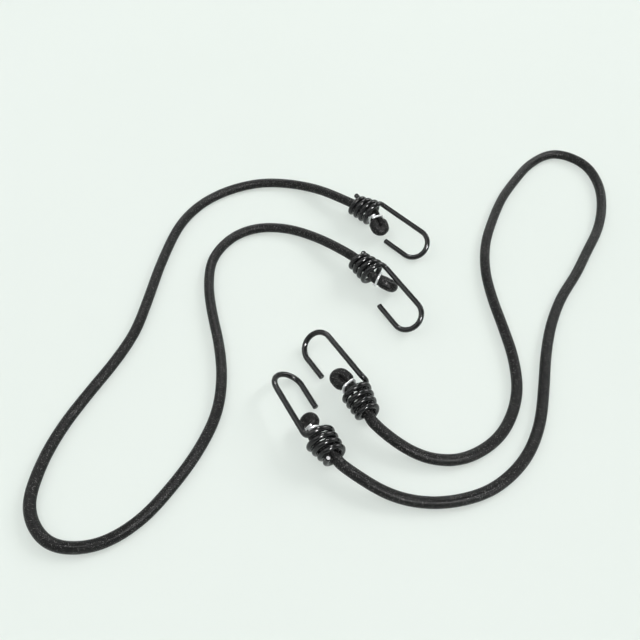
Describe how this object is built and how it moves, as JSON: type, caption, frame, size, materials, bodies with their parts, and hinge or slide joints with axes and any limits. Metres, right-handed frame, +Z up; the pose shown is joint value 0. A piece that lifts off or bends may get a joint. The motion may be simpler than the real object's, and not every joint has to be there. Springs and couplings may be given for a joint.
{
  "type": "bungee cord",
  "caption": "Elastic bungee cords with a braided sheath, a rubber core and coiled wire hooks at the ends, laid in loose loops on a flat surface.",
  "frame": {"origin": "on the surface that the cords lie on, at the middle of the box round the hooks", "axes": "+Z up from the surface; +Y away from the viewer of the picture, +X to the viewer's right"},
  "size_m": [0.4678, 0.3854, 0.024],
  "materials": {
    "braid": "tightly braided matt black textile sheath with a faint sheen",
    "rubber": "bundle of natural latex rubber threads",
    "coating": "semi-gloss black dipped plastic coating",
    "steel_wire": "bare drawn steel, seen only at the cut ends",
    "clip_metal": "bright zinc-plated round wire"
  },
  "bodies": {
    "cords": {"cord_a_sheath": "braid", "cord_a_core": "rubber", "cord_b_sheath": "braid", "cord_b_core": "rubber"},
    "hook_a1": {"hook_a1_wire": "steel_wire", "hook_a1_coating": "coating", "cord_a1_folded_sheath": "braid", "cord_a1_folded_core": "rubber", "clip_a1": "clip_metal"},
    "hook_a2": {"hook_a2_wire": "steel_wire", "hook_a2_coating": "coating", "cord_a2_folded_sheath": "braid", "cord_a2_folded_core": "rubber", "clip_a2": "clip_metal"},
    "hook_b1": {"hook_b1_wire": "steel_wire", "hook_b1_coating": "coating", "cord_b1_folded_sheath": "braid", "cord_b1_folded_core": "rubber", "clip_b1": "clip_metal"},
    "hook_b2": {"hook_b2_wire": "steel_wire", "hook_b2_coating": "coating", "cord_b2_folded_sheath": "braid", "cord_b2_folded_core": "rubber", "clip_b2": "clip_metal"}
  },
  "joints": [
    {"name": "hook_a1_swivel", "type": "hinge", "parent": "cords", "child": "hook_a1", "pos_m": [0.00088, 0.12152, 0.01039], "axis": [0.811, -0.5827, 0.0513], "range_deg": [-180, 180]},
    {"name": "hook_a2_swivel", "type": "hinge", "parent": "cords", "child": "hook_a2", "pos_m": [0.00139, 0.05517, 0.01039], "axis": [0.6567, -0.7522, 0.0544], "range_deg": [-180, 180]},
    {"name": "hook_b1_swivel", "type": "hinge", "parent": "cords", "child": "hook_b1", "pos_m": [0.00536, -0.09055, 0.0105], "axis": [-0.4279, 0.902, 0.0574], "range_deg": [-180, 180]},
    {"name": "hook_b2_swivel", "type": "hinge", "parent": "cords", "child": "hook_b2", "pos_m": [-0.01892, -0.12281, 0.01025], "axis": [-0.6252, 0.7772, 0.0712], "range_deg": [-180, 180]}
  ]
}
